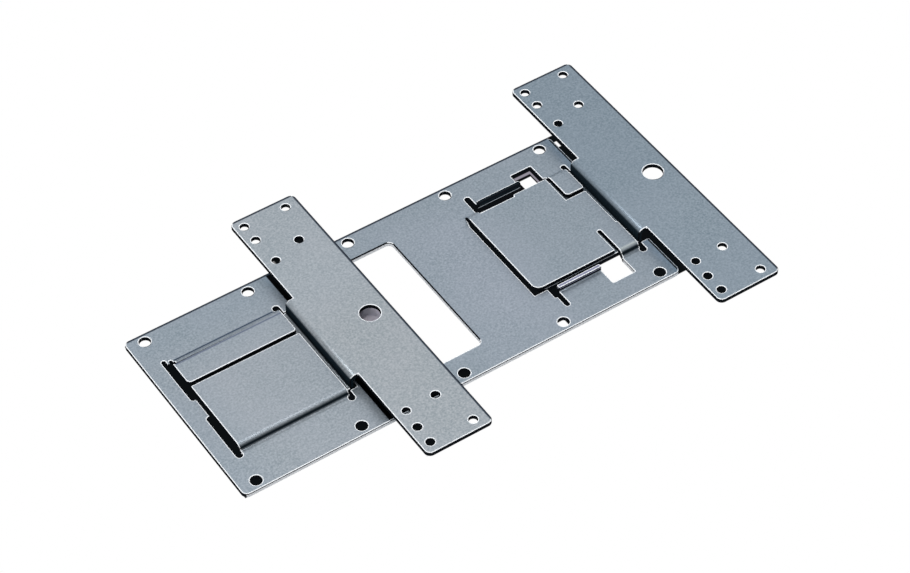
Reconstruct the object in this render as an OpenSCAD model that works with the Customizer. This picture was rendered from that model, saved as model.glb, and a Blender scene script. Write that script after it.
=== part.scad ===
// Folded steel wall bracket: a base plate with two lanced pockets, and two identical
// cross arms whose tongues rest in them. Millimetres. The wall face is Z = 0 and the
// origin is the middle of the wall holes. X runs along the plate, Y along the arms.

/* [Sheet] */
// Thickness of the steel sheet
sheet = 2; // [1.6:0.1:2.4]
// Inside radius of the sharp bends
bend_r = 0.6; // [0.4:0.1:1]
// Corner radius of the plate and of the arms
corner_r = 2.75; // [1:0.25:4]

/* [Base plate] */
// Length of the plate
plate_l = 216; // [206:0.5:236]
// Width of the plate
plate_w = 97.6; // [88:0.2:110]
// Number of wall holes in a row
hole_cols = 5; // [3:2:5]
// From the plate's end to the middle of its first wall hole
end_margin = 8; // [5:0.1:12]
// From the plate's long edge to the middle of its wall holes
side_margin = 4.4; // [3.5:0.1:5.5]
// Diameter of the wall holes
wall_hole_d = 5; // [4:0.1:6]
// Left edge of the window between the arms
window_x = -7; // [-12:0.5:0]
// Length of the window
window_l = 22.5; // [15:0.5:30]
// Width of the window
window_w = 70; // [50:1:76]
// Corner radius of the window
window_r = 2.5; // [1:0.25:4]

/* [Arms] */
// From the plate's left end to the left pocket
pocket_margin = 7.8; // [5:0.1:12]
// From the outer face of the right arm's neck to the plate's right end
mouth_margin = 5.2; // [3:0.1:8]
// Width of an arm
arm_w = 32; // [30:0.5:36]
// Length of an arm
arm_len = 153.8; // [150:0.2:170]
// Height of an arm's underside over the wall face
arm_rise = 6.85; // [5.5:0.05:9]
// Width of the neck and of its tongue
neck_w = 50.5; // [48:0.1:51]
// How far the neck stands out from the arm's edge
neck_out = 3.95; // [3.6:0.05:5]
// Length of the tongue, from the neck's outer face
tongue_l = 50.75; // [40:0.25:52]
// Corner radius of the tongue's end
tongue_r = 3; // [1:0.25:6]

/* [Arm holes] */
// Diameter of the screw holes
arm_hole_d = 3.8; // [3:0.1:5]
// Diameter of the two holes of the long pair
pair_hole_d = 3.5; // [3:0.1:4.5]
// Diameter of the access hole over the plate
access_hole_d = 8.9; // [6:0.1:12]
// Access hole, right of the arm's middle line
access_hole_x = 6.15; // [0:0.05:8]
// From the arm's end to its end holes
end_hole_in = 5.2; // [4.2:0.1:7]
// From the arm's end to the second holes, in the left column
second_hole_in = 14.55; // [11:0.05:18]
// From the arm's end to the third holes
third_hole_in = 24.6; // [20:0.1:28]
// Left column of holes, left of the arm's middle line
left_hole_x = 11.5; // [9:0.1:12.5]
// End holes on the right, right of the arm's middle line
right_hole_x = 9.2; // [7:0.1:12.5]
// Third holes, right of the arm's middle line
third_hole_x = 3.9; // [0:0.1:8]
// Long pair, left of the arm's middle line
pair_hole_x = 10.55; // [8:0.05:12]
// From the arm's end to the holes of the long pair, on average
pair_in = 26.75; // [24:0.05:30]
// Middle of the long pair, in front of the arm's middle
pair_shift = 2.6; // [0:0.1:3]

/* [Pockets] */
// Free height over a tongue, under its panel
tongue_gap = 0.4; // [0.3:0.05:0.8]
// Free width on each side of a neck
side_gap = 0.4; // [0.3:0.05:1]
// Gap between a panel and the neck's wall
panel_gap = 2.05; // [1.8:0.05:2.5]
// Gap between a neck's wall and the plate to its right
neck_gap = 1; // [0.6:0.1:2]
// How far inside a tongue's edge the joggles start
joggle_inset = 0.5; // [0:0.1:0.6]
// Width of a joggle, from the panel's flat to the plate's flat
joggle_run = 4; // [3.6:0.1:4.6]
// Front edge of the slit that parts a lip from its panel
slit_y = 10.9; // [8:0.1:14]
// Width of that slit
slit_w = 1.75; // [1.2:0.05:2.5]
// Radius of the relief holes at the ends of the joggles
relief_r = 1.4; // [1.1:0.1:1.6]
// Middles of the relief holes, beyond a joggle
relief_out = 0.75; // [0.5:0.05:1.2]

/* [Left pocket] */
// Length of the left panel and of its lip
panel_1_l = 52.2; // [51:0.1:53]
// Gap between the left panel and the plate
end_gap_1 = 2.7; // [2.4:0.1:4]
// Gap that the stop leaves between the plate and the left panel
stop_gap = 0.8; // [0.4:0.1:1.2]
// Width of the stop
stop_w = 11; // [6:0.5:14]
// Radius at the foot of the stop
stop_r = 1.2; // [0.5:0.1:1.4]
// Width of the slot at the left pocket's back end
end_slot_w = 1.7; // [1:0.1:2]
// Middle of that slot's round end, beyond the joggle
end_slot_out = 1.25; // [0.5:0.05:2]
// Radius at the end of the notch in the lip's left joggle
lip_notch_r = 0.7; // [0.4:0.1:0.9]
// Middle of that notch, right of the lip's left edge
lip_notch_x = 0.8; // [0.7:0.1:1.2]

/* [Right pocket] */
// Length of the right panel
panel_2_l = 51.35; // [51:0.05:52]
// Gap between the right panel and the plate
end_gap_2 = 0.9; // [0.6:0.1:1.5]
// Width of the leg that carries the panel at its left back corner
leg_w = 5.95; // [4:0.05:6.5]
// Gap between the lip or the front tab and the neck's wall
tab_gap = 1.3; // [1:0.1:2]
// Width of the lip and of the front tab
tab_w = 9.4; // [8.5:0.1:10]
// Radius of the relief hole at the lip's right end
dot_r = 1.1; // [0.8:0.1:1.6]
// Width of the slits beside the lip and the front tab
tab_slit_w = 1.6; // [1:0.1:2]
// Inner end of the slit beside the front tab
tab_slit_y = 11.9; // [9:0.1:16]
// Where the panel's back edge steps out, left of the neck's wall
step_x = 29.8; // [26:0.1:34]
// How far it steps out
step_out = 1.1; // [0.5:0.1:1.5]
// Radius of the panel's front left corner
panel_corner_r = 3.75; // [1:0.25:5]
// Left end of the flanges, left of the neck's wall
flange_x = 44.7; // [44:0.1:46]
// Gap between the tongue and the front flange
front_flange_gap = 2.4; // [1.5:0.1:3]
// Gap between the tongue and the back flange
back_flange_gap = 4.9; // [3.5:0.1:6]
// Right end of the flanges, left of the neck's wall
notch_x = 22.6; // [20:0.1:24]
// Length of the front notch
front_notch_l = 11.3; // [8:0.1:12]
// Length of the back notch
back_notch_l = 10.5; // [8:0.1:12]
// Reach of the notches and slots, from the middle line
notch_y = 38.1; // [36:0.1:38.5]
// Width of the slot at the left end of the back flange
back_slot_w = 2.5; // [1.5:0.1:2.6]
// Width of the slot at the left end of the front flange
front_slot_w = 2; // [1.5:0.1:2.6]
// Width of the well where that slot meets the pocket
well_w = 3.1; // [2.7:0.1:4]
// Reach of the well, from the middle line
well_y = 31.5; // [30.5:0.1:34]

/* [Hidden] */
$fn = 96;
zinc = [0.62, 0.67, 0.71];
// Overlap of shapes that are joined, and reach of cutters past a face
lap = 0.5;
// Straight steps that stand for one bend of a joggle
bend_steps = 16;
// Radius of the smallest corners
small_r = 0.5;
// Radii of a lip's two free corners, left and right
lip_r = 2;
lip_end_r = 1.2;
bend_out = bend_r + sheet;
lift = sheet + tongue_gap;
panel_top = lift + sheet;
half_neck = neck_w / 2;
free_y = half_neck + side_gap;
joggle_top = half_neck - joggle_inset;
joggle_foot = joggle_top + joggle_run;
joggle_r = (joggle_run * joggle_run + lift * lift) / (4 * lift);
joggle_angle = 2 * atan(lift / joggle_run);
relief_y = joggle_foot + relief_out;
lip_y = slit_y + slit_w;
hole_pitch = (plate_l - 2 * end_margin) / (hole_cols - 1);
row_spacing = plate_w - 2 * side_margin;
panel_1_x = -panel_gap - panel_1_l;
panel_2_x = -panel_gap - panel_2_l;
// Outer faces of the two necks' walls: each pocket is drawn from there, leftwards
wall_xs = [pocket_margin + end_gap_1 - panel_1_x - plate_l / 2, plate_l / 2 - mouth_margin];
tab_x = -tab_gap - tab_w;
slit_x = tab_x - tab_slit_w;
tab_end_x = relief_r - tab_gap / 2;
leg_x = panel_2_x + leg_w;
front_flange_y = half_neck + front_flange_gap;
back_flange_y = half_neck + back_flange_gap;
half_arm = arm_len / 2;
screw_holes = [
    for (s = [-1, 1]) [right_hole_x, s * (half_arm - end_hole_in)],
    for (s = [-1, 1]) [-left_hole_x, s * (half_arm - end_hole_in)],
    for (s = [-1, 1]) [-left_hole_x, s * (half_arm - second_hole_in)],
    for (s = [-1, 1]) [third_hole_x, s * (half_arm - third_hole_in)]
];
pair_holes = [for (s = [-1, 1]) [-pair_hole_x, s * (half_arm - pair_in) - pair_shift]];

// Flat rectangle between two x and two y values, its corners rounded
module plate(x0, x1, y0, y1, r = 0) {
    if (r == 0) {
        translate([x0, y0]) square([x1 - x0, y1 - y0]);
    } else {
        translate([x0 + r, y0]) square([x1 - x0 - 2 * r, y1 - y0]);
        translate([x0, y0 + r]) square([x1 - x0, y1 - y0 - 2 * r]);
        for (x = [x0 + r, x1 - r]) for (y = [y0 + r, y1 - r]) translate([x, y]) circle(r);
    }
}

// Slot along Y from the middle line to a round end at y
module slot(x0, x1, y) {
    r = (x1 - x0) / 2;
    side = y < 0 ? -1 : 1;
    plate(x0, x1, min(0, y + r), max(0, y - r));
    translate([x0 + r, y - side * r]) circle(r);
}

// Cutter that rounds one corner: turn 0 faces +X+Y, each further turn is 90 degrees
module corner_cut(x, y, turn, r) {
    translate([x, y]) rotate(90 * turn) difference() {
        translate([-r, -r]) square(r + lap);
        translate([-r, -r]) circle(r);
    }
}

// Sheet bent about a point, between two angles that are at most 100 degrees apart
module bend(x, z, r_in, from, to) {
    reach = 2 * (r_in + sheet);
    translate([x, z]) intersection() {
        difference() {
            circle(r_in + sheet);
            circle(r_in);
        }
        polygon([[0, 0], [reach * cos(from), reach * sin(from)], [reach * cos(to), reach * sin(to)]]);
    }
}

// Points of one bend of a joggle, from its step number first on
function arc(x, z, r, from, to, first = 0) = [
    for (i = [first:bend_steps]) let (a = from + (to - from) * i / bend_steps)
        [x + r * cos(a), z + r * sin(a)]
];

// Section across a pocket, in Y and Z: raised flat, with a joggle on both sides
module pocket_section() {
    r_in = joggle_r - sheet / 2;
    r_out = joggle_r + sheet / 2;
    upper_z = lift - r_in;
    lower_z = sheet + r_in;
    translate([-joggle_top, lift]) square([2 * joggle_top, sheet]);
    for (side = [0, 1]) mirror([side, 0]) polygon(concat(
        [[0, lift], [0, panel_top]],
        arc(joggle_top, upper_z, r_out, 90, 90 - joggle_angle),
        arc(joggle_foot, lower_z, r_in, 270 - joggle_angle, 270, 1),
        [[joggle_foot + lap, sheet], [joggle_foot + lap, 0]],
        arc(joggle_foot, lower_z, r_out, 270, 270 - joggle_angle),
        arc(joggle_top, upper_z, r_in, 90 - joggle_angle, 90, 1)
    ));
}

// The pocket's section along X, trimmed to the flat outline of its children
module folded_tab(x0, x1) {
    intersection() {
        translate([x0, 0, 0]) rotate([90, 0, 90]) linear_extrude(x1 - x0) pocket_section();
        linear_extrude(panel_top) children();
    }
}

// Flange folded up on the edge of an opening, y from the middle line on one side
module flange(x0, x1, y, side) {
    translate([x0, 0, 0]) rotate([90, 0, 90]) linear_extrude(x1 - x0)
        mirror([side < 0 ? 1 : 0, 0]) {
            translate([y, bend_out]) square([sheet, panel_top - bend_out]);
            bend(y + bend_out, bend_out, bend_r, 180, 270);
            translate([y + bend_out, 0]) square([lap, sheet]);
        }
}

// What the left pocket takes out of the plate
module pocket_1_opening() {
    end_x = panel_1_x - end_gap_1;
    stop_y = stop_w / 2;
    plate(panel_1_x, -panel_gap, -joggle_foot, joggle_foot);
    plate(-panel_gap, relief_r - panel_gap, -relief_y, relief_y);
    // Strip between the panel and the plate, on both sides of the stop
    plate(end_x, panel_1_x + lap, stop_y, joggle_foot - lip_notch_r, stop_r);
    plate(end_x, panel_1_x + lap, -joggle_foot, -stop_y, stop_r);
    plate(panel_1_x - stop_gap, panel_1_x + lap, -stop_y - stop_r, stop_y + stop_r);
    // The strip's two ends; the narrow one leaves a tooth beside the lip
    plate(end_x, end_x + end_slot_w, half_neck, joggle_foot + end_slot_out);
    plate(end_x, end_x + 2 * relief_r, -relief_y, -half_neck);
    // Room for the neck's wall
    plate(0, sheet + neck_gap, -free_y, free_y, small_r);
    plate(-panel_gap, sheet, -free_y, free_y);
}

// Round ends of the cuts beside the left pocket's joggles, through plate and tabs
module pocket_1_reliefs() {
    end_x = panel_1_x - end_gap_1;
    lobe_x = panel_1_x + lip_notch_x;
    translate([end_x + end_slot_w / 2, joggle_foot + end_slot_out]) circle(end_slot_w / 2);
    plate(lobe_x - lip_notch_r, lobe_x + lip_notch_r, half_neck, joggle_foot);
    plate(panel_1_x - lap, lobe_x, half_neck, joggle_foot - lip_notch_r);
    translate([lobe_x, joggle_foot]) circle(lip_notch_r);
    translate([end_x + relief_r, -relief_y]) circle(relief_r);
    for (s = [-1, 1]) translate([-panel_gap, s * relief_y]) circle(relief_r);
}

// The lip and the panel over the left tongue
module pocket_1_tabs() {
    folded_tab(panel_1_x, -panel_gap) difference() {
        plate(panel_1_x, -panel_gap, -joggle_foot - lap, joggle_foot + lap);
        plate(panel_1_x - lap, lap - panel_gap, slit_y, lip_y);
        corner_cut(panel_1_x, lip_y, 2, lip_r);
        corner_cut(-panel_gap, lip_y, 3, lip_end_r);
        corner_cut(panel_1_x, slit_y, 1, small_r);
    }
}

// What the right pocket takes out of the plate; it is open at the plate's right end
module pocket_2_opening() {
    end_x = panel_2_x - end_gap_2;
    plate(end_x, plate_l, -free_y, joggle_top - joggle_run / 2);
    // The gap left of the panel closes to a cut along the leg's joggle
    polygon([
        [end_x, 0], [panel_2_x, 0], [panel_2_x, joggle_foot],
        [panel_2_x - end_gap_2 / 3, joggle_top], [end_x, joggle_top - joggle_run / 2]
    ]);
    plate(panel_2_x, leg_x, 0, joggle_foot);
    plate(0, plate_l, 0, free_y);
    // Back side: slot, flange, notch and lip
    slot(leg_x, leg_x + back_slot_w, notch_y);
    plate(leg_x, -notch_x, 0, back_flange_y + bend_out);
    plate(-notch_x, back_notch_l - notch_x, 0, notch_y, small_r);
    plate(slit_x, -tab_gap, 0, joggle_foot);
    plate(-tab_gap, tab_end_x, 0, relief_y);
    // Front side: well, slot, flange, notch and front tab
    plate(-flange_x - well_w, -flange_x, -well_y, 0, small_r);
    slot(-flange_x - front_slot_w, -flange_x, -notch_y);
    plate(-flange_x, -notch_x, -front_flange_y - bend_out, 0);
    plate(-notch_x, front_notch_l - notch_x, -notch_y, 0, small_r);
    plate(slit_x, -tab_gap, -joggle_foot, 0);
    plate(-tab_gap, tab_end_x, -relief_y, 0);
}

// Round ends of the cuts beside the lip and the front tab, through plate and tabs
module pocket_2_reliefs() {
    translate([tab_end_x - dot_r, relief_y]) circle(dot_r);
    translate([tab_end_x - relief_r, -relief_y]) circle(relief_r);
}

// Flat outline of the right panel, without what is folded
module panel_2_outline() {
    difference() {
        union() {
            plate(panel_2_x, -panel_gap, -half_neck, joggle_top);
            plate(leg_x, slit_x, 0, half_neck);
            plate(-step_x, slit_x, 0, half_neck + step_out);
            plate(tab_x, -tab_gap, -joggle_top, lap - tab_slit_y);
        }
        plate(slit_x, 0, slit_y, half_neck);
        plate(tab_x, 0, -half_neck - lap, -joggle_top);
        slot_r = tab_slit_w / 2;
        plate(slit_x, tab_x, -half_neck - lap, -tab_slit_y - slot_r);
        translate([slit_x + slot_r, -tab_slit_y - slot_r]) circle(slot_r);
        corner_cut(panel_2_x, -half_neck, 2, panel_corner_r);
        corner_cut(slit_x, half_neck + step_out, 0, small_r);
        corner_cut(-step_x, half_neck + step_out, 1, step_out);
    }
}

// The panel over the right tongue with its leg and front tab, the lip and the flanges
module pocket_2_tabs() {
    translate([0, 0, lift]) linear_extrude(sheet) panel_2_outline();
    folded_tab(panel_2_x, leg_x) plate(panel_2_x, leg_x, joggle_top - lap, joggle_foot + lap);
    folded_tab(tab_x, -tab_gap) {
        plate(tab_x, -tab_gap, -joggle_foot - lap, lap - joggle_top);
        difference() {
            plate(tab_x, -tab_gap, lip_y, joggle_foot + lap);
            corner_cut(tab_x, lip_y, 2, lip_r);
            corner_cut(-tab_gap, lip_y, 3, lip_end_r);
        }
    }
    flange(leg_x + back_slot_w, -notch_x, back_flange_y, 1);
    flange(-flange_x, -notch_x, front_flange_y, -1);
}

// Outline of the plate with its holes and its window
module base_outline() {
    difference() {
        plate(-plate_l / 2, plate_l / 2, -plate_w / 2, plate_w / 2, corner_r);
        for (i = [0:hole_cols - 1]) for (s = [-1, 1])
            translate([(i - (hole_cols - 1) / 2) * hole_pitch, s * row_spacing / 2]) circle(d = wall_hole_d);
        plate(window_x, window_x + window_l, -window_w / 2, window_w / 2, window_r);
        translate([wall_xs[0], 0]) pocket_1_opening();
        translate([wall_xs[1], 0]) pocket_2_opening();
    }
}

module base_plate() {
    color(zinc) difference() {
        union() {
            linear_extrude(sheet) base_outline();
            translate([wall_xs[0], 0, 0]) pocket_1_tabs();
            translate([wall_xs[1], 0, 0]) pocket_2_tabs();
        }
        translate([wall_xs[0], 0, -lap]) linear_extrude(panel_top + 2 * lap) pocket_1_reliefs();
        translate([wall_xs[1], 0, -lap]) linear_extrude(panel_top + 2 * lap) pocket_2_reliefs();
    }
}

// Section of the neck, in X and Z: arm level, down the wall, and out to the tongue
module neck_section() {
    translate([bend_out, arm_rise]) square([neck_out - bend_out + lap, sheet]);
    bend(bend_out, arm_rise - bend_r, bend_r, 90, 180);
    translate([0, bend_out]) square([sheet, arm_rise - bend_r - bend_out]);
    bend(-bend_r, bend_out, bend_r, 270, 360);
    translate([-tongue_l, 0]) square([tongue_l - bend_r, sheet]);
}

// One cross arm, drawn from the outer face of its neck's wall
module arm() {
    middle_x = neck_out + arm_w / 2;
    translate([0, 0, arm_rise]) linear_extrude(sheet) difference() {
        plate(neck_out, neck_out + arm_w, -half_arm, half_arm, corner_r);
        translate([middle_x, 0]) {
            for (p = screw_holes) translate(p) circle(d = arm_hole_d);
            for (p = pair_holes) translate(p) circle(d = pair_hole_d);
            translate([access_hole_x, 0]) circle(d = access_hole_d);
        }
    }
    difference() {
        rotate([90, 0, 0]) linear_extrude(neck_w, center = true) neck_section();
        translate([0, 0, -lap]) linear_extrude(sheet + 2 * lap) {
            corner_cut(-tongue_l, half_neck, 1, tongue_r);
            corner_cut(-tongue_l, -half_neck, 2, tongue_r);
        }
    }
}

module left_arm() {
    color(zinc) translate([wall_xs[0], 0, 0]) arm();
}

module right_arm() {
    color(zinc) translate([wall_xs[1], 0, 0]) arm();
}

base_plate();
left_arm();
right_arm();
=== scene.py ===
import math

import bmesh
import bpy
from mathutils import Matrix, Vector

MM = 0.001

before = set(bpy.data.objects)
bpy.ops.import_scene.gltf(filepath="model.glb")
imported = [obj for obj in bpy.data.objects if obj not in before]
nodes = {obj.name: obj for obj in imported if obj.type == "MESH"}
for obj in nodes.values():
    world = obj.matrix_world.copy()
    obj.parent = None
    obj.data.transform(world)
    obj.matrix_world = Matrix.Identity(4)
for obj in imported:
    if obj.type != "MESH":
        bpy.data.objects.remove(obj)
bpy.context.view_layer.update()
scene = bpy.context.scene


# Camera, its place and aim in metres
LENS_MM = 116.13
SENSOR_MM = 36
VIEW_END = 20
CAMERA_PLACE = (-0.437606, -0.698720, 0.915554)
CAMERA_AIM = (0.023679, -0.002422, 0.002)
CAMERA_ROLL_DEG = -0.5875


def looking(place, aim):
    """Place and turn of a camera or a lamp that looks from one point to another."""
    place = Vector(place)
    turn = (Vector(aim) - place).to_track_quat("-Z", "Y").to_matrix().to_4x4()
    return Matrix.Translation(place) @ turn


def add_camera():
    data = bpy.data.cameras.new("camera")
    data.lens = LENS_MM
    data.sensor_width = SENSOR_MM
    data.clip_end = VIEW_END
    camera = bpy.data.objects.new("camera", data)
    roll = Matrix.Rotation(math.radians(CAMERA_ROLL_DEG), 4, "Z")
    camera.matrix_world = looking(CAMERA_PLACE, CAMERA_AIM) @ roll
    scene.collection.objects.link(camera)
    scene.camera = camera


add_camera()


# Node helpers
FLOAT, VECTOR = "NodeSocketFloat", "NodeSocketVector"
MIX_SHARE, MIX_FIRST, MIX_SECOND, MIX_RESULT = 0, 6, 7, 2


def node(tree, kind, **values):
    made = tree.nodes.new(kind)
    for key, value in values.items():
        setattr(made, key, value)
    return made


def feed(tree, socket, value):
    """Link an output to a socket, or give the socket a constant."""
    if isinstance(value, bpy.types.NodeSocket):
        tree.links.new(value, socket)
    elif socket.type == "RGBA":
        socket.default_value = (*value, 1)
    else:
        socket.default_value = value


def feed_all(tree, sockets, values):
    for name, value in values.items():
        feed(tree, sockets[name], value)


def math_node(tree, operation, *terms, clamp=False):
    made = node(tree, "ShaderNodeMath", operation=operation, use_clamp=clamp)
    for socket, term in zip(made.inputs, terms):
        feed(tree, socket, term)
    return made.outputs[0]


def vector_node(tree, operation, *terms):
    made = node(tree, "ShaderNodeVectorMath", operation=operation)
    for socket, term in zip(made.inputs, terms):
        feed(tree, socket, term)
    return made.outputs[0]


def split_node(tree, vector):
    """The x, y and z of a vector."""
    made = node(tree, "ShaderNodeSeparateXYZ")
    tree.links.new(vector, made.inputs[0])
    return made.outputs


def ramp_node(tree, value, low, high, to_low=0, to_high=1):
    """Goes evenly from to_low to to_high while the value goes from low to high."""
    made = node(tree, "ShaderNodeMapRange")
    feed_all(tree, made.inputs, {
        "Value": value, "From Min": low, "From Max": high, "To Min": to_low, "To Max": to_high})
    return made.outputs["Result"]


def mix_node(tree, mask, a, b, blend="MIX"):
    made = node(tree, "ShaderNodeMix", data_type="RGBA", blend_type=blend)
    for place, value in ((MIX_SHARE, mask), (MIX_FIRST, a), (MIX_SECOND, b)):
        feed(tree, made.inputs[place], value)
    return made.outputs[MIX_RESULT]


def mix_shaders(tree, share, a, b):
    made = node(tree, "ShaderNodeMixShader")
    for socket, output in zip(made.inputs, (share, a, b)):
        tree.links.new(output, socket)
    return made.outputs["Shader"]


def new_material(name):
    material = bpy.data.materials.new(name)
    material.use_nodes = True
    tree = material.node_tree
    tree.nodes.clear()
    out = node(tree, "ShaderNodeOutputMaterial")
    shader = node(tree, "ShaderNodeBsdfPrincipled")
    tree.links.new(shader.outputs["BSDF"], out.inputs["Surface"])
    return material, tree, shader, out


def new_group(name, ins, outs):
    group = bpy.data.node_groups.new(name, "ShaderNodeTree")
    for label, kind in ins:
        group.interface.new_socket(label, in_out="INPUT", socket_type=kind)
    for label, kind in outs:
        group.interface.new_socket(label, in_out="OUTPUT", socket_type=kind)
    return group, node(group, "NodeGroupInput").outputs, node(group, "NodeGroupOutput").inputs


def object_place(tree):
    return node(tree, "ShaderNodeTexCoord").outputs["Object"]


def facing_parts(tree):
    """The x, y and z of the way a surface faces, in the part's frame."""
    return split_node(tree, node(tree, "ShaderNodeTexCoord").outputs["Normal"])


# Masks: boxes in millimetres, as x0, x1, y0, y1 and, where they matter, z0 and z1
DEEP_Z, HIGH_Z = -20, 20
CRISP = 0.3


def box_group():
    """1 inside a box given by its middle and half size, 0 outside. The side of the box is the middle
    of its soft band."""
    group, ins, outs = new_group(
        "box_mask", (("Middle", VECTOR), ("Half", VECTOR), ("Soft", FLOAT)), (("Mask", FLOAT),))
    away = vector_node(group, "SUBTRACT", object_place(group), ins["Middle"])
    away = vector_node(group, "ABSOLUTE", away)
    depth = split_node(group, vector_node(group, "SUBTRACT", ins["Half"], away))
    least = math_node(group, "MINIMUM", depth[0], depth[1])
    least = math_node(group, "MINIMUM", least, depth[2])
    mask = math_node(group, "DIVIDE", least, ins["Soft"])
    mask = math_node(group, "ADD", mask, 0.5, clamp=True)
    group.links.new(mask, outs["Mask"])
    return group


BOX = box_group()


def box_mask(tree, x0, x1, y0, y1, z0=DEEP_Z, z1=HIGH_Z, soft=CRISP):
    made = node(tree, "ShaderNodeGroup", node_tree=BOX)
    low, high = Vector((x0, y0, z0)) * MM, Vector((x1, y1, z1)) * MM
    made.inputs["Middle"].default_value = (low + high) / 2
    made.inputs["Half"].default_value = (high - low) / 2
    made.inputs["Soft"].default_value = soft * MM
    return made.outputs["Mask"]


def any_of(tree, masks):
    total = masks[0]
    for mask in masks[1:]:
        total = math_node(tree, "MAXIMUM", total, mask)
    return total


def any_box(tree, boxes, soft=CRISP):
    return any_of(tree, [box_mask(tree, *limits, soft=soft) for limits in boxes])


def less(tree, mask, hole):
    """The part of a mask that another leaves free."""
    return math_node(tree, "SUBTRACT", mask, hole, clamp=True)


# Zinc plate, painted shade and light on its cut faces, and its arrises with painted highlight and shade
SPECKLE_DETAIL = 3
CLOUD_SCALE, CLOUD_DETAIL = 28, 2
NOISE_ROUGHNESS = 0.6
SHEET_GRAIN, ARRIS_GRAIN = 1100, 600
SPECKLE_BAND = (0.33, 0.67)
CLOUD_BAND, CLOUD_SHARE = (0.35, 0.65), 0.3
CLOUD_TINT = (1.0, 0.97, 0.99)
SHADING_PATCH_SOFT = 30
STEEP_BAND = (0.2, 0.4)
SHEEN_BAND, SHEET_ROUGHNESS = (0.2, 0.8), (0.42, 0.5)
BUMP_STRENGTH, BUMP_DEPTH = 0.3, 0.05 * MM
UNDER_BAND = (0.45, 0.65)
REAR_BAND = (0.2, 0.35)
FAR_EDGE_SHADE_SOFT = 0.2
ARRIS_METAL, ARRIS_ROUGHNESS = 0.1, 0.5


def grain_group():
    """Fine crystalline grain of zinc plate, and slow clouds in it."""
    group, ins, outs = new_group("zinc_grain", (("Scale", FLOAT),), (("Speckle", FLOAT), ("Cloud", FLOAT)))
    place = object_place(group)
    for label, scale, detail in (
            ("Speckle", ins["Scale"], SPECKLE_DETAIL), ("Cloud", CLOUD_SCALE, CLOUD_DETAIL)):
        noise = node(group, "ShaderNodeTexNoise")
        feed_all(group, noise.inputs, {
            "Vector": place, "Scale": scale, "Detail": detail, "Roughness": NOISE_ROUGHNESS})
        group.links.new(noise.outputs["Fac"], outs[label])
    return group


GRAIN = grain_group()


def grain_node(tree, scale):
    made = node(tree, "ShaderNodeGroup", node_tree=GRAIN)
    made.inputs["Scale"].default_value = scale
    return made.outputs


def colour(r, g, b):
    """Linear values of a screen colour."""
    return tuple(((v / 255 + 0.055) / 1.055) ** 2.4 if v > 10 else v / 255 / 12.92 for v in (r, g, b))


# Painted shade: near black on the cut faces and on the shaded side of the arrises
SHADED_CUT = colour(22, 25, 30)
# Painted light: a painted reflection of the white floor on cut faces
LIT_CUT = colour(225, 228, 232)
# Painted highlight on the rounded arrises
ARRIS_HIGHLIGHT = (colour(228, 234, 240), colour(250, 252, 254))
# Painted shade in the feet of bends and on the right pocket's rear flange
DEEP_SHADE = colour(30, 42, 50)
# Painted highlight on the crest of the right pocket's tab
CREST_HIGHLIGHT = colour(228, 238, 240)
# Painted shade along the far edges
FAR_EDGE_SHADE = colour(72, 82, 96)
# Painted light on the right pocket's front flange
FLANGE_LIGHT = colour(168, 172, 200)
# Painted shade along the two bends of the left lip
LIP_FOOT_SHADE = colour(70, 88, 112)
LIP_BEND_SHADE = colour(122, 132, 156)
# Painted shadow on the plate under the arms, and painted light where it shows through the left arm's access
# hole
PLATE_SHADOW_UNDER_ARM = colour(8, 10, 13)
LIT_PLATE = colour(240, 232, 242)

# Painted shade, light and highlights: box, softness in millimetres, colour
ARM_PAINTED_SHADING = (
    # Painted shade at the feet of both necks
    ((-45, -40.4, -26, 26, 2.2, 7.6), 0.9, DEEP_SHADE),
    ((100, 105.7, -26, 26, 2.2, 7.6), 0.9, DEEP_SHADE),
    # Painted shade along the right edges and the rear ends
    ((-8.45, -6, -80, 80, 8, 9.5), 0.3, FAR_EDGE_SHADE),
    ((137.6, 140, -80, 80, 8, 9.5), 0.3, FAR_EDGE_SHADE),
    ((-45, 145, 75.7, 80, 8, 9.5), 0.3, FAR_EDGE_SHADE),
)
PLATE_PAINTED_SHADING = (
    # Painted shade at the left panel's foot and the right pocket's tab's foot, and a painted highlight on
    # the tab's crest
    ((-99, -44, -29.2, -26.9, 2.2, 4.2), 0.8, DEEP_SHADE),
    ((91.5, 102.5, -29.4, -27, 2.1, 4.4), 0.6, DEEP_SHADE),
    ((91.5, 102.5, -26.7, -25.5, 3.9, 4.6), 0.8, CREST_HIGHLIGHT),
    # Painted shade on the right pocket's rear flange, and painted light on its front flange
    ((57, 81, 29.4, 33, 2.5, 7), 0.4, DEEP_SHADE),
    ((57, 81, -30.4, -27.2, 3.5, 7), 0.3, FLANGE_LIGHT),
    # Painted shade along the two bends of the left lip
    ((-96.5, -45.5, 28.4, 29.1, 1.8, 5), 0.4, LIP_FOOT_SHADE),
    ((-96.5, -45.5, 24.1, 24.8, 1.8, 5), 0.6, LIP_BEND_SHADE),
    # Painted shadow on the plate under the arms, and painted light on what shows of it in the left arm's
    # access hole
    ((-39.2, -7.2, -50, 50, 1.7, 2.3), 0.3, PLATE_SHADOW_UNDER_ARM),
    ((106.8, 110, -50, 50, 1.7, 2.3), 0.3, PLATE_SHADOW_UNDER_ARM),
    ((-20, -8, -2, 12, 1.7, 2.3), 0.5, LIT_PLATE),
    # Painted shade along the rear edge
    ((-110, 110, 47.6, 50, 1.5, 2.5), 0.3, FAR_EDGE_SHADE),
)

# Painted light and shade: soft boxes that scale the zinc's red, green and blue
PLATE_SHADING_PATCHES = (
    ((-100, -35, -70, 25), (1.13, 1.08, 1.045)),
    ((22, 50, -40, 30), (1.1, 1.07, 1.08)),
)
ARM_SHADING_PATCHES = (
    ((-45, 0, -80, 10), (1.0, 0.98, 0.965)),
    ((100, 145, -90, -10), (1.08, 1.06, 1.05)),
)

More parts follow.
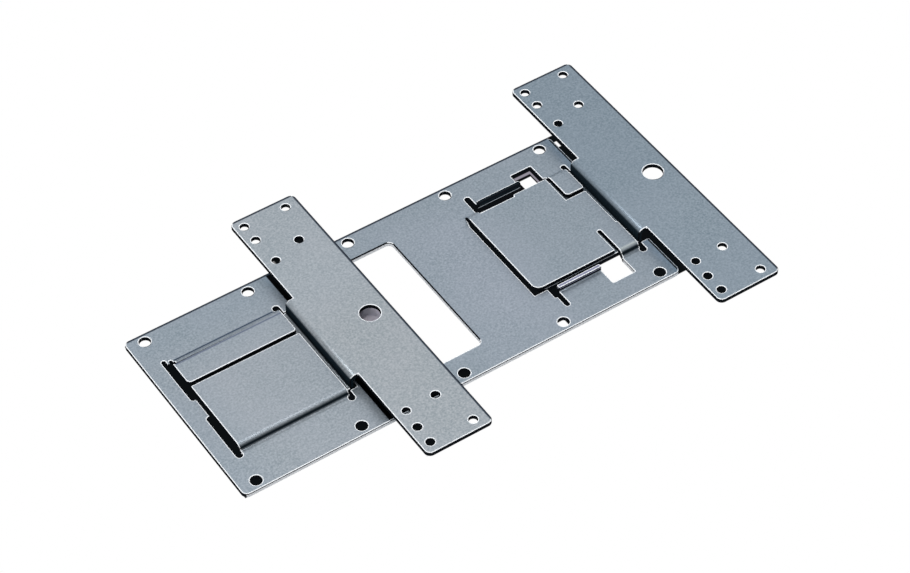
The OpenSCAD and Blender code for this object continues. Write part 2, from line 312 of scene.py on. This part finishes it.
# Boxes with painted light on the cut faces, with painted shade on far-edge arrises, and with holes
# whose rear-facing arris side gets painted shade
PLATE_LIT_CUTS = ((-120, 120, -60, -48.3), (-7.5, 16, -35.5, 35.5), (90.8, 92.6, -39, -29.6))
PLATE_FAR_EDGES_SHADED = ((-120, 120, 48.0, 50), (57, 81, 29.4, 31.4, 2.4, 7), (15.3, 16.5, -33, 33), (-8, 14, 34.8, 36))
PLATE_HOLE_SHADE = ((-105, 105, 36, 46),)
ARM_FAR_EDGES_SHADED = ((-8.1, -6, -80, 80), (137.9, 140, -80, 80), (-45, 145, 76.1, 80))
ARM_HOLE_SHADE = ((-45, 145, 40, 75), (120, 140, -15, 15))


def zinc_sheet(name, low, high, painted_shading, shading_patches, lit_cut_boxes=()):
    """Grained zinc on the faces of the sheet, with painted shade on the cut faces and painted light on those
    inside the lit boxes. Soft boxes of painted light and shade scale the zinc's colour, and boxes of painted
    shade and highlight lie on bends, edges and under the arms."""
    material, tree, shader, _ = new_material(name)
    grain = grain_node(tree, SHEET_GRAIN)
    speckle = ramp_node(tree, grain["Speckle"], *SPECKLE_BAND)
    face = mix_node(tree, speckle, low, high)
    cloud = ramp_node(tree, grain["Cloud"], *CLOUD_BAND, 0, CLOUD_SHARE)
    face = mix_node(tree, cloud, face, tuple(v * w for v, w in zip(high, CLOUD_TINT)))
    # Soft patches of painted light and shade
    for limits, share in shading_patches:
        face = mix_node(tree, box_mask(tree, *limits, soft=SHADING_PATCH_SOFT), face, share, blend="MULTIPLY")
    level = math_node(tree, "ABSOLUTE", facing_parts(tree)["Z"])
    steep = ramp_node(tree, level, *STEEP_BAND, 1, 0)
    # Painted shade on the cut faces, and painted light on those in the lit boxes
    cut = mix_node(tree, any_box(tree, lit_cut_boxes), SHADED_CUT, LIT_CUT) if lit_cut_boxes else SHADED_CUT
    base = mix_node(tree, steep, face, cut)
    # Boxes of painted shade, light and highlight
    for limits, soft, shade_tone in painted_shading:
        base = mix_node(tree, box_mask(tree, *limits, soft=soft), base, shade_tone)
    bump = node(tree, "ShaderNodeBump")
    feed_all(tree, bump.inputs, {
        "Strength": BUMP_STRENGTH, "Distance": BUMP_DEPTH, "Height": grain["Speckle"]})
    feed_all(tree, shader.inputs, {
        "Base Color": base,
        "Roughness": ramp_node(tree, grain["Cloud"], *SHEEN_BAND, *SHEET_ROUGHNESS),
        "Metallic": math_node(tree, "SUBTRACT", 1, steep),
        "Specular IOR Level": 0,
        "Normal": bump.outputs["Normal"]})
    return material


def painted_arris(name, far_edge_shade_boxes, rear_shade_boxes):
    """Rounded arris with a painted highlight on top, and painted shade where it faces steeply or downward,
    along the far edges in the shade boxes and on the rear-facing side of the holes."""
    material, tree, shader, _ = new_material(name)
    # Painted highlight: near white, with grain
    tone = mix_node(tree, grain_node(tree, ARRIS_GRAIN)["Speckle"], *ARRIS_HIGHLIGHT)
    facing = facing_parts(tree)
    # Painted shade where the arris faces steeply or downward, on far edges and on rear-facing hole sides
    under = ramp_node(tree, facing["Z"], *UNDER_BAND, 1, 0)
    rear = ramp_node(tree, facing["Y"], *REAR_BAND)
    rear = math_node(tree, "MULTIPLY", rear, any_box(tree, rear_shade_boxes))
    arris_shade = any_of(tree, (under, rear, any_box(tree, far_edge_shade_boxes, FAR_EDGE_SHADE_SOFT)))
    feed_all(tree, shader.inputs, {
        "Base Color": mix_node(tree, arris_shade, tone, SHADED_CUT),
        "Metallic": ARRIS_METAL,
        "Specular IOR Level": 0,
        "Roughness": ARRIS_ROUGHNESS})
    return material


plate_zinc = zinc_sheet(
    "zinc_plate", colour(151, 166, 178), colour(187, 199, 210), PLATE_PAINTED_SHADING, PLATE_SHADING_PATCHES, PLATE_LIT_CUTS)
plate_arris = painted_arris("plate_arris", PLATE_FAR_EDGES_SHADED, PLATE_HOLE_SHADE)
# The left arm's zinc is lighter and the right arm's darker than the plate's: painted light and shade
left_zinc = zinc_sheet(
    "zinc_left_arm", colour(167, 180, 189), colour(205, 213, 220), ARM_PAINTED_SHADING, ARM_SHADING_PATCHES)
right_zinc = zinc_sheet(
    "zinc_right_arm", colour(140, 158, 172), colour(174, 190, 203), ARM_PAINTED_SHADING, ARM_SHADING_PATCHES)
arm_arris = painted_arris("arm_arris", ARM_FAR_EDGES_SHADED, ARM_HOLE_SHADE)

FINISHES = {
    "base_plate": (plate_zinc, plate_arris),
    "left_arm": (left_zinc, arm_arris),
    "right_arm": (right_zinc, arm_arris),
}


# Rounded arrises
SHARP_DEG = 40
DOWNWARD = -0.2
WELD_MM = 0.002
FLAT_DEG = 0.5
ARRIS_MM, ARRIS_STEPS = 0.5, 2
ARRIS_SLOT = 1

# Narrow ends inside the plate's pockets: the middle and half size of a box, in millimetres
SLIVERS = (
    ((-97.5, 28.4, 1), (0.5, 0.7, 4)),
    ((55.35, 25, 4.4), (0.4, 0.6, 1)),
    ((49.25, 26.9, 1), (0.6, 2.5, 5)),
)


def arris_weights():
    """Edges to be rounded: the sharp ones, apart from those round the underside, where the burr stays
    crisp, and the narrow ends."""
    group = bpy.data.node_groups.new("arris_weights", "GeometryNodeTree")
    for way in ("INPUT", "OUTPUT"):
        group.interface.new_socket("Geometry", in_out=way, socket_type="NodeSocketGeometry")
    angle = node(group, "GeometryNodeInputMeshEdgeAngle").outputs["Unsigned Angle"]
    place = node(group, "GeometryNodeInputPosition").outputs["Position"]
    faces = node(group, "GeometryNodeFieldOnDomain", data_type="FLOAT_VECTOR", domain="FACE")
    group.links.new(node(group, "GeometryNodeInputNormal").outputs["Normal"], faces.inputs[0])
    upper = math_node(group, "GREATER_THAN", split_node(group, faces.outputs[0])["Z"], DOWNWARD)
    sharp = math_node(group, "GREATER_THAN", angle, math.radians(SHARP_DEG))
    weight = math_node(group, "MULTIPLY", sharp, upper)
    for middle, half in SLIVERS:
        away = split_node(group, vector_node(group, "SUBTRACT", place, Vector(middle) * MM))
        outside = any_of(group, [
            math_node(group, "GREATER_THAN", math_node(group, "ABSOLUTE", distance), reach * MM)
            for distance, reach in zip(away, half)])
        weight = math_node(group, "MULTIPLY", weight, outside)
    store = node(group, "GeometryNodeStoreNamedAttribute", data_type="FLOAT", domain="EDGE")
    store.inputs["Name"].default_value = "bevel_weight_edge"
    group.links.new(node(group, "NodeGroupInput").outputs[0], store.inputs["Geometry"])
    group.links.new(weight, store.inputs["Value"])
    group.links.new(store.outputs["Geometry"], node(group, "NodeGroupOutput").inputs[0])
    return group


WEIGHTS = arris_weights()


def dress(obj, materials):
    """Give a node of the frame its sheet and arris materials, and round its arrises."""
    obj.data.materials.clear()
    for material in materials:
        obj.data.materials.append(material)
    weld = obj.modifiers.new("weld", "WELD")
    weld.merge_threshold = WELD_MM * MM
    flat = obj.modifiers.new("flats", "DECIMATE")
    flat.decimate_type = "DISSOLVE"
    flat.angle_limit = math.radians(FLAT_DEG)
    obj.modifiers.new("weights", "NODES").node_group = WEIGHTS
    bevel = obj.modifiers.new("edges", "BEVEL")
    bevel.width = ARRIS_MM * MM
    bevel.segments = ARRIS_STEPS
    bevel.limit_method = "WEIGHT"
    bevel.use_clamp_overlap = False
    bevel.loop_slide = False
    bevel.material = ARRIS_SLOT


for name, obj in nodes.items():
    dress(obj, FINISHES[name])


# Floor
FLOOR_HALF = 3
FLOOR_DROP = 0.2 * MM
FLOOR_BASE, FLOOR_ROUGHNESS = (0.8, 0.8, 0.8), 0.9
# The floor's white, and the near black of its painted shadow
WHITE, PAINTED_SHADOW = (1.0, 1.0, 1.0), (0.004, 0.005, 0.006)
# Painted half-shadow on the floor beside the right pocket's rear opening
HALF_SHADOW = colour(149, 144, 155)
SHADOW_SOFT = 3
# Boxes of painted shadow on the floor, and boxes left white in it
PLATE_SHADOW_ON_FLOOR = (-107.5, 107.5, -48.3, 48.3)
LIT = (
    # The window, the two openings beside the right panel, the rear wall holes and one front wall hole
    (-8, 18, -37, 38),
    (82.2, 88.5, 28, 34.7),
    (80.5, 94, -37, -25.3),
    (-107, 107, 42.5, 48.5),
    (47, 52, -47, -42),
)
ARM_SHADOWS = (
    (-35, -13, -70, -44),
    (-32, -11, 44, 63),
    (113, 127.5, -70, -17),
    (112, 121, -20, 59),
)
# Painted shadow in the gap beside the right arm, with one spot left white
RIGHT_GAP_SHADOW, RIGHT_GAP_LIT = (106.8, 114, -48.3, 50.3), (109.2, 110.5, 42.7, 46.2)
# The strip of painted half-shadow, less its inner part
HALF_SHADOW_STRIP, HALF_SHADOW_INNER = (81.5, 90, 28, 37.6), (79, 89.2, 26, 36.2)


def floor_material():
    """White for the camera and for sheen, a matt floor for other light, and clear from below. The painted
    shadow shows to the camera only: on the floor under the plate, in the right gap and beside the arms. A
    strip of painted half-shadow borders the opening behind the right panel."""
    material, tree, shader, out = new_material("white_floor")
    feed_all(tree, shader.inputs, {"Base Color": FLOOR_BASE, "Roughness": FLOOR_ROUGHNESS})
    shade = less(tree, box_mask(tree, *PLATE_SHADOW_ON_FLOOR), any_box(tree, LIT))
    gap = less(tree, box_mask(tree, *RIGHT_GAP_SHADOW), box_mask(tree, *RIGHT_GAP_LIT))
    shade = any_of(tree, (shade, any_box(tree, ARM_SHADOWS, SHADOW_SOFT), gap))
    strip = less(tree, box_mask(tree, *HALF_SHADOW_STRIP), box_mask(tree, *HALF_SHADOW_INNER))
    path = node(tree, "ShaderNodeLightPath").outputs
    shade = math_node(tree, "MULTIPLY", shade, path["Is Camera Ray"])
    tone = mix_node(tree, shade, WHITE, PAINTED_SHADOW)
    tone = mix_node(tree, strip, tone, HALF_SHADOW)
    glow = node(tree, "ShaderNodeEmission")
    tree.links.new(tone, glow.inputs["Color"])
    seen = any_of(tree, [path[kind] for kind in ("Is Camera Ray", "Is Glossy Ray", "Is Transmission Ray")])
    top = mix_shaders(tree, seen, shader.outputs["BSDF"], glow.outputs["Emission"])
    below = node(tree, "ShaderNodeNewGeometry").outputs["Backfacing"]
    clear = node(tree, "ShaderNodeBsdfTransparent").outputs["BSDF"]
    tree.links.new(mix_shaders(tree, below, top, clear), out.inputs["Surface"])
    return material


def floor():
    mesh = bpy.data.meshes.new("floor")
    bm = bmesh.new()
    bmesh.ops.create_grid(bm, x_segments=1, y_segments=1, size=FLOOR_HALF)
    bmesh.ops.translate(bm, verts=bm.verts, vec=(0, 0, -FLOOR_DROP))
    bm.to_mesh(mesh)
    bm.free()
    obj = bpy.data.objects.new("floor", mesh)
    scene.collection.objects.link(obj)
    mesh.materials.append(floor_material())


floor()


# Light: two lamps in one place, one for matt surfaces and a weaker one for sheen, and a studio sky
LAMP_PLACE, LAMP_AIM = (-0.1, 0.05, 1.5), (0, 0, 0)
LAMP_SIZE = 0.3
MATT_WATTS, SHEEN_WATTS = 18, 6


def area_light(name, power, sheen):
    data = bpy.data.lights.new(name, "AREA")
    data.shape = "RECTANGLE"
    data.size = LAMP_SIZE
    data.size_y = LAMP_SIZE
    data.energy = power
    lamp = bpy.data.objects.new(name, data)
    lamp.visible_glossy = sheen
    lamp.visible_diffuse = not sheen
    lamp.matrix_world = looking(LAMP_PLACE, LAMP_AIM)
    scene.collection.objects.link(lamp)


area_light("overhead", MATT_WATTS, False)
area_light("overhead_sheen", SHEEN_WATTS, True)

# Levels of grey by height, in the front of the sky and towards its rear right
FRONT = ((0.0, 0.45), (0.12, 0.48), (0.37, 0.45), (0.56, 0.35), (0.738, 0.3), (1.0, 0.3))
REAR = ((0.0, 0.3), (0.37, 0.6), (0.738, 0.85), (1.0, 0.3))
REAR_TURN = 0.6
REAR_EDGE = (0.1, 0.8)


def level_ramp(tree, height, stops):
    ramp = node(tree, "ShaderNodeValToRGB")
    tree.links.new(height, ramp.inputs["Fac"])
    marks = ramp.color_ramp.elements
    while len(marks) < len(stops):
        marks.new(0.5)
    for mark, (place, level) in zip(marks, stops):
        mark.position = place
        mark.color = (level, level, level, 1)
    return ramp.outputs["Color"]


def sky():
    world = bpy.data.worlds.new("studio")
    scene.world = world
    world.use_nodes = True
    tree = world.node_tree
    way = split_node(tree, node(tree, "ShaderNodeTexCoord").outputs["Generated"])
    front, rear = (level_ramp(tree, way["Z"], stops) for stops in (FRONT, REAR))
    across = math_node(tree, "ADD", way["Y"], math_node(tree, "MULTIPLY", way["X"], REAR_TURN))
    tone = mix_node(tree, ramp_node(tree, across, *REAR_EDGE), front, rear)
    tree.links.new(tone, tree.nodes["Background"].inputs["Color"])


sky()
scene.view_settings.view_transform = "Standard"
